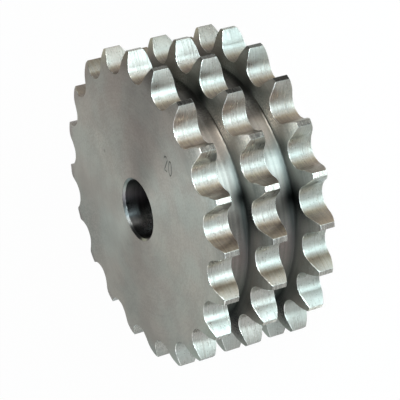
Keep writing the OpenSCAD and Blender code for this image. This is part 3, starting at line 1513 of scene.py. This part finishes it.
@dataclass(frozen=True)
class HobbedSteel:
    """Steel cut by a hob: short bright and dull streaks that follow the outline of each gap."""

    name: str
    colour: Colour
    roughness: float
    grain: float
    pitch: float = 0.40
    run: float = 1.3
    mark_depth: float = 0.015
    tone: float = 0.04
    line: float = 0.16
    streak_gloss: float = 0.02
    cloud_dullness: float = 0.15
    speckle: float = 0.11
    pit: float = 0.40
    # Painted reflection and shade: a brown tint where the walls face towards +Y, and a darker, bluer one
    # where it is strongest
    faint_painted_tint: Colour = (0.93, 0.78, 0.62)
    faint_tint_range: tuple[float, float] = (0.0, 0.6)
    strong_painted_tint: Colour = (0.80, 0.78, 0.90)
    strong_tint_range: tuple[float, float] = (0.3, 0.85)
    painted_tint_least: float = 0.75
    painted_tint_dullness: float = 0.08
    # Lighter colour of worn edges with a painted highlight
    worn_and_shine_colour: Colour = (0.64, 0.61, 0.56)
    worn_and_shine_roughness: float = 0.32
    wear: float = 0.8

    def material(self, effects: MachiningEffects) -> bpy.types.Material:
        """Makes the material.

        Args:
            effects: The shared effects.

        Returns:
            The material.
        """
        blank = Blank.named(self.name, effects, self.wear)
        w, inputs = blank.wiring, blank.shader.inputs
        cut = {"across": w.mark(ACROSS), "along": w.mark(ALONG), "seed": w.mark(CUT)}
        streaks = w.use(effects.hob_streaks, pitch=self.pitch, run=self.run, **cut)
        pits = w.use(effects.pitting, place=blank.place, **cut)
        tone = w.scaled(streaks["Tone"], 0.0, 1.0, 1 - self.tone, 1 + self.tone)
        tone = w.math("MULTIPLY", tone, w.scaled(streaks["Line"], 0.0, 1.0, 1.0, 1 - self.line))
        tone = w.math("MULTIPLY", tone, w.scaled(pits["Mask"], 0.0, 1.0, 1.0, 1 - self.pit))
        base = blank.tinted(self.colour, tone, self.speckle)
        # Painted brown reflection and shade on the walls that face towards +Y
        film_and_painted_tint = w.math("MULTIPLY", w.mark(PAINTED_TINT), w.scaled(streaks["Tone"], 0.0, 1.0, 1.0, self.painted_tint_least))
        base = w.mixed(w.scaled(film_and_painted_tint, *self.faint_tint_range), base, self.faint_painted_tint, "MULTIPLY")
        base = w.mixed(w.scaled(film_and_painted_tint, *self.strong_tint_range), base, self.strong_painted_tint, "MULTIPLY")
        w.put(inputs["Base Color"], w.mixed(blank.worn_and_shine, base, self.worn_and_shine_colour))
        dullest, glossiest = self.roughness + self.streak_gloss, self.roughness - self.streak_gloss
        dull = w.scaled(streaks["Tone"], 0.0, 1.0, dullest, glossiest)
        dull = w.math("MULTIPLY_ADD", blank.film_and_painted_tint["Dullness"], self.cloud_dullness, dull)
        dull = w.math("MULTIPLY_ADD", film_and_painted_tint, self.painted_tint_dullness, dull)
        w.put(inputs["Roughness"], w.scaled(blank.worn_and_shine, 0.0, 1.0, dull, self.worn_and_shine_roughness))
        blank.cut_across(self.grain, w.math("MULTIPLY", streaks["Height"], self.mark_depth))
        return blank.material


# Heights of the walls that face up in the upper and in the lower groove
RAISED_WALLS = (20.9, 7.0)


def on_both_walls(x: float, y: float, size: float, change: float, rough: float = 0.3) -> tuple[Patch, ...]:
    """Puts the same patch on the walls that face up in the upper and in the lower groove."""
    return tuple(Patch(x, y, height, size, change, rough=rough) for height in RAISED_WALLS)


@dataclass
class Sprocket:
    """The whole sprocket, cut from one bar: three toothed rows, two grooves, two faces and the bore."""

    row_pitch: float = 13.92
    row_count: int = 3
    groove_drop: float = 3.5
    seed: int = 8
    mark_depths: tuple[float, ...] = (0.007, 0.008, 0.004)
    burrs: tuple[Burr, ...] = (
        Burr(2, True, 40.7, 12.5, 0.9, 0.09),
        Burr(2, True, 34.2, 24.2, 0.9, 0.09),
        Burr(1, True, 34.4, 23.9, 0.8, 0.09),
        Burr(1, True, 42.2, 0.6, 0.5, 0.09),
        Burr(0, True, 34.1, 22.9, 0.7, 0.08),
    )
    # Painted light and shade on the upper face: lighter and darker spots, a painted glint on the relief by
    # tooth 1, and painted shade towards the left and lower rim
    face_patches: tuple[Patch, ...] = (
        Patch(-14.0, 20.0, 34.84, 6.0, 0.10),
        Patch(-12.1, 16.6, 34.84, 0.8, -0.35),
        Patch(40.4, 12.6, 33.7, 1.8, 0.2),
        Patch(38.5, 13.0, 34.0, 9.0, -0.30),
        Patch(-41.0, -6.0, 34.0, 24.0, -0.28),
        Patch(-12.0, -42.0, 34.0, 14.0, -0.22),
        Patch(-27.0, -2.0, 34.84, 27.0, -0.16),
    )
    # Painted light and shade on the walls that face up: painted glints on the relief by tooth 1 and near 30
    # degrees, painted shade elsewhere
    wall_patches: tuple[Patch, ...] = (
        Patch(40.0, 11.5, 20.3, 5.5, 1.2, rough=0.15),
        Patch(40.0, 11.5, 6.4, 5.5, 1.1, rough=0.15),
        *on_both_walls(30.5, 17.0, 6.5, 1.2, rough=0.5),
        Patch(23.1, 25.6, 20.9, 5.5, -0.85, rough=0.1),
        Patch(23.0, 24.4, 7.0, 4.5, -0.70, rough=0.1),
        Patch(33.5, 8.0, 7.0, 4.0, -0.55, rough=0.3),
        *on_both_walls(36.4, -6.4, 7.5, -0.85),
        *on_both_walls(14.0, -34.5, 9.0, -0.85),
        *on_both_walls(23.5, -29.5, 8.0, -0.35),
    )
    # Painted shade in both grooves at the front, darkest at the core's foot, and painted light in two sectors
    # further round
    groove_patches: tuple[Patch, ...] = (
        Patch(33.0, 0.0, 21.0, 9.0, -0.32, rough=0.2),
        Patch(32.8, -2.5, 7.2, 10.0, -0.42, rough=0.2),
        Patch(32.7, -1.2, 21.2, 4.5, -0.90, rough=0.0),
        Patch(32.6, -4.5, 7.2, 5.0, -0.96, rough=0.0),
        Patch(25.1, 21.1, 0.0, 5.0, 0.6, through=True),
        Patch(14.4, 29.4, 0.0, 6.0, 1.0, through=True),
    )
    # Painted light and shade on the lands, tooth by tooth: lighter at 0, 72 and -56 degrees, darker from 18
    # to 54 degrees
    land_patches: tuple[Patch, ...] = (
        Patch(42.9, 0.0, 0.0, 4.0, 0.65, through=True),
        Patch(40.8, 13.3, 0.0, 4.5, -0.56, through=True, rough=0.3),
        Patch(34.7, 25.2, 0.0, 4.5, -0.80, through=True, rough=0.1),
        Patch(25.2, 34.7, 0.0, 4.0, -0.30, through=True, rough=0.3),
        Patch(13.3, 40.8, 0.0, 8.0, 0.95, through=True, rough=0.3),
        Patch(24.0, -35.5, 0.0, 17.0, 0.50, through=True),
        Patch(24.0, -35.5, 3.5, 19.0, 1.0),
    )
    # A painted reflection band deep in the bore, and painted shade near its upper mouth on the far side
    bore_patches: tuple[Patch, ...] = (
        Patch(-6.2, -5.0, 27.8, 6.5, 4.4, rough=0.45),
        Patch(-5.4, -5.9, 28.5, 5.0, 1.2, rough=0.45),
        Patch(-3.0, -7.4, 31.0, 6.0, 0.9, rough=0.4),
        Patch(-7.9, 0.6, 33.5, 5.0, -0.85, rough=0.2),
    )

    def skin(self) -> SteelSkin:
        """Builds the surface from the rows inwards.

        Returns:
            The closed surface.
        """
        low, high = (Vector(corner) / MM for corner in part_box(NODE))
        tip_r = high.x
        teeth = ToothOutline(tip_r)
        outline = teeth.whole()
        core_r = teeth.pitch_r - teeth.seat_r - self.groove_drop
        rng = np.random.default_rng(self.seed)
        skin = SteelSkin()
        rows, sides = [], []
        for number in range(self.row_count):
            foot = low.z + number * self.row_pitch
            marks = HobMarks(self.mark_depths[number])
            row = ToothedRow(number, self.row_count, foot, outline, tip_r, marks, self.burrs)
            rows.append(row)
            sides.append(row.build(skin, rng))
        for number in range(self.row_count - 1):
            below = (sides[number][1], rows[number].foot + rows[number].width)
            above = (sides[number + 1][0], rows[number + 1].foot)
            PlateGroove(core_r).build(skin, below, above)
        bottom = FlatFace(low.z, False).build(skin, sides[0][0])
        top = FlatFace(high.z, True, SizeStamp()).build(skin, sides[-1][1])
        ShaftBore(low.z, high.z).build(skin, bottom, top)
        return skin

    def finishes(self, effects: MachiningEffects) -> list[bpy.types.Material]:
        """Makes the materials.

        Args:
            effects: The shared effects.

        Returns:
            The materials in the order of the regions.
        """
        made = {
            Region.TURNED_SIDE: TurnedSteel(
                "turned_side", (0.395, 0.355, 0.315), roughness=0.42, grain=0.65,
                across=Coordinate.RADIUS, pitch=0.35, mark_depth=0.0012, tone=0.035,
                patches=self.face_patches,
            ),
            Region.HOBBED_GAP: HobbedSteel(
                "hobbed_gap", (0.342, 0.316, 0.289), roughness=0.29, grain=0.5
            ),
            Region.TOOTH_LAND: TurnedSteel(
                "tooth_land", (0.26, 0.232, 0.21), roughness=0.24, grain=0.88,
                across=Coordinate.HEIGHT, patches=self.land_patches,
            ),
            # The groove's core is the same turned steel, its colour darkened as painted shade
            Region.GROOVE_CORE: TurnedSteel(
                "groove_core", (0.134, 0.117, 0.105), roughness=0.30, grain=0.88,
                across=Coordinate.HEIGHT, pitch=0.6, patches=self.groove_patches,
            ),
            Region.GROOVE_WALL: TurnedSteel(
                "groove_wall", (0.335, 0.30, 0.265), roughness=0.40, grain=0.5,
                across=Coordinate.RADIUS, pitch=0.35, mark_depth=0.001, tone=0.05,
                patches=self.wall_patches + self.groove_patches,
            ),
            # The bore is the same steel, its colour darkened as painted shade; its chamfers take the lighter
            # worn and shine colour
            Region.BORE: TurnedSteel(
                "bore", (0.105, 0.098, 0.096), roughness=0.32, grain=0.85,
                across=Coordinate.HEIGHT, pitch=0.3,
                wear=9.0, worn_and_shine_colour=(0.235, 0.225, 0.215), worn_and_shine_roughness=0.34,
                dirt_and_shade_colour=(0.02, 0.02, 0.018), patches=self.bore_patches,
            ),
        }
        return [made[region].material(effects) for region in Region]

    def build(self, effects: MachiningEffects) -> bpy.types.Object:
        """Makes the piece that stands for the CAD node.

        Args:
            effects: The shared effects.

        Returns:
            The finished object.
        """
        mesh = self.skin().mesh("sprocket_skin")
        for material in self.finishes(effects):
            mesh.materials.append(material)
        piece = bpy.data.objects.new("sprocket_steel", mesh)
        bpy.context.scene.collection.objects.link(piece)
        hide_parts(NODE)
        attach(piece, "root")
        return piece


@dataclass(frozen=True)
class Softbox:
    """A rectangular soft lamp that looks at the middle of the sprocket."""

    name: str
    azimuth: float
    elevation: float
    distance: float
    width: float
    height: float
    power: float
    colour: Colour

    def place(self, target: Vector) -> bpy.types.Object:
        """Adds the lamp.

        Args:
            target: The point that it looks at, in metres.

        Returns:
            The lamp object.
        """
        data = bpy.data.lights.new(self.name, "AREA")
        data.shape = "RECTANGLE"
        data.size, data.size_y = self.width, self.height
        data.energy, data.color = self.power, self.colour
        lamp = bpy.data.objects.new(self.name, data)
        away = direction(self.azimuth, self.elevation)
        lamp.location = target + away * self.distance
        lamp.rotation_euler = away.to_track_quat("Z", "Y").to_euler()
        lamp.visible_camera = False
        bpy.context.scene.collection.objects.link(lamp)
        return lamp


@dataclass(frozen=True)
class RoomGlow:
    """A broad soft area of the studio's walls, as a lobe of the world's light."""

    azimuth: float
    elevation: float
    tightness: float
    colour: Colour


@dataclass
class Studio:
    """Pale floor, soft light and the camera of the photograph's viewpoint."""

    middle: Vector
    lens: float = 166.325
    sensor_width: float = 36.0
    camera_place: tuple[float, float, float] = (0.440649, 0.036097, 0.232476)
    camera_right: tuple[float, float, float] = (0.444321, -0.228413, -0.866260)
    camera_up: tuple[float, float, float] = (0.033319, 0.970495, -0.238808)
    floor_r: float = 4.0
    floor_columns: int = 96
    floor_drop: float = 0.00002
    floor_colour: Colour = (0.66, 0.65, 0.63)
    floor_roughness: float = 0.7
    floor_gloss: float = 0.2
    floor_lift: float = 0.97
    metal_lift: float = 0.14
    sky_lift: float = 0.02
    room: Colour = (0.005, 0.005, 0.005)
    glows: tuple[RoomGlow, ...] = (
        RoomGlow(-60.0, 10.0, 10.0, (5.3, 5.0, 5.9)),
        RoomGlow(-90.0, 10.0, 10.0, (3.1, 3.7, 3.4)),
        RoomGlow(-150.0, 10.0, 10.0, (0.58, 0.82, 0.82)),
        RoomGlow(180.0, 10.0, 10.0, (0.41, 0.29, 0.34)),
    )
    lamps: tuple[Softbox, ...] = (
        Softbox("front_left", -6.0, 6.0, 0.9, 0.32, 0.30, 12.4, (0.74, 0.93, 1.0)),
        Softbox("front", 11.5, 6.0, 0.9, 0.26, 0.30, 25.0, (0.66, 0.90, 1.0)),
        Softbox("front_right", 41.0, 6.0, 0.9, 0.44, 0.30, 10.2, (0.95, 1.0, 0.99)),
        Softbox("cool_side", -40.0, 10.0, 1.0, 0.40, 0.30, 2.0, (0.63, 0.95, 1.0)),
        Softbox("overhead", 143.0, 76.0, 1.0, 0.25, 0.25, 0.66, (0.93, 0.91, 1.0)),
        Softbox("chamfer_glint", 44.0, 60.0, 1.0, 0.36, 0.12, 1.9, (0.84, 0.96, 1.0)),
        Softbox("back_high", -165.0, 45.0, 1.0, 0.50, 0.50, 0.9, (0.85, 1.0, 0.99)),
        Softbox("back_low", 150.0, 12.0, 1.0, 0.50, 0.40, 0.76, (0.91, 1.0, 0.76)),
    )

    def floor(self) -> bpy.types.Object:
        """Lays the floor, which glows only for the camera and, less, for what the metal reflects.

        Returns:
            The floor object.
        """
        rim = with_height(ring(self.floor_r, self.floor_columns), 0.0)
        mesh = bpy.data.meshes.new("floor")
        mesh.from_pydata(rim.tolist(), [], [tuple(range(len(rim)))])
        floor = bpy.data.objects.new("floor", mesh)
        floor.location.z = -self.floor_drop
        bpy.context.scene.collection.objects.link(floor)
        material = bpy.data.materials.new("pale_floor")
        material.use_nodes = True
        w = Wiring(material.node_tree)
        shader = material.node_tree.nodes["Principled BSDF"]
        shader.inputs["Roughness"].default_value = self.floor_roughness
        shader.inputs["Specular IOR Level"].default_value = self.floor_gloss
        w.put(shader.inputs["Base Color"], self.floor_colour)
        blend = w.node("ShaderNodeMixShader")
        white = w.node("ShaderNodeEmission").outputs[0]
        parts = (self.seen_share(w, self.floor_lift, self.metal_lift), shader.outputs[0], white)
        for socket, part in zip(blend.inputs, parts):
            w.put(socket, part)
        w.put(material.node_tree.nodes["Material Output"].inputs["Surface"], blend.outputs[0])
        mesh.materials.append(material)
        return floor

    @staticmethod
    def seen_share(w: Wiring, direct: float, in_metal: float) -> bpy.types.NodeSocket:
        """Gives the share of white that the camera, polished metal and glass see.

        Args:
            w: Wiring of the material or world.
            direct: Share for camera rays.
            in_metal: Share for glossy and transmitted rays.

        Returns:
            The share, which is 0 for all other rays.
        """
        path = w.node("ShaderNodeLightPath").outputs
        others = w.math("MAXIMUM", path["Is Glossy Ray"], path["Is Transmission Ray"])
        share = w.math("MULTIPLY", path["Is Camera Ray"], direct)
        return w.math("MULTIPLY_ADD", others, in_metal, share, clamp=True)

    def world(self) -> None:
        """Lights the room dimly, with broad glows beside and behind the sprocket, and shows it white."""
        world = bpy.data.worlds.new("studio")
        bpy.context.scene.world = world
        world.use_nodes = True
        w = Wiring(world.node_tree)
        looking = w.vector("NORMALIZE", w.node("ShaderNodeTexCoord").outputs["Generated"])
        total: Value = self.room
        for glow in self.glows:
            towards = tuple(direction(glow.azimuth, glow.elevation))
            facing = w.math("MAXIMUM", w.vector("DOT_PRODUCT", looking, towards, output="Value"), 0.0)
            lobe = w.math("POWER", facing, glow.tightness)
            total = w.vector("ADD", total, w.times(glow.colour, lobe))
        background = world.node_tree.nodes["Background"]
        share = self.seen_share(w, 1.0, self.sky_lift)
        w.put(background.inputs["Color"], w.mixed(share, total, (1.0, 1.0, 1.0)))

    def camera(self) -> bpy.types.Object:
        """Sets the camera where the photograph was taken from.

        Returns:
            The camera object.
        """
        data = bpy.data.cameras.new("viewpoint")
        data.sensor_width = self.sensor_width
        data.lens = self.lens
        camera = bpy.data.objects.new("viewpoint", data)
        right, up = Vector(self.camera_right), Vector(self.camera_up)
        turn = Matrix((right, up, right.cross(up))).transposed().to_4x4()
        camera.matrix_world = Matrix.Translation(self.camera_place) @ turn
        bpy.context.scene.collection.objects.link(camera)
        bpy.context.scene.camera = camera
        return camera

    def build(self) -> None:
        """Sets up the camera, the floor, the lamps and the room."""
        bpy.context.scene.view_settings.view_transform = "Standard"
        self.camera()
        self.floor()
        for lamp in self.lamps:
            lamp.place(self.middle)
        self.world()


def main() -> None:
    """Builds the studio and the sprocket, and reports them."""
    logging.basicConfig(level=logging.INFO, format="%(name)s: %(message)s")
    low, high = CAD_BOX
    Studio((low + high) / 2).build()
    log.info("studio: camera, floor, lamps and room are set")
    piece = Sprocket().build(MachiningEffects())
    mesh = piece.data
    log.info("%s: %d vertices, %d faces", piece.name, len(mesh.vertices), len(mesh.polygons))


if __name__ == "__main__":
    main()
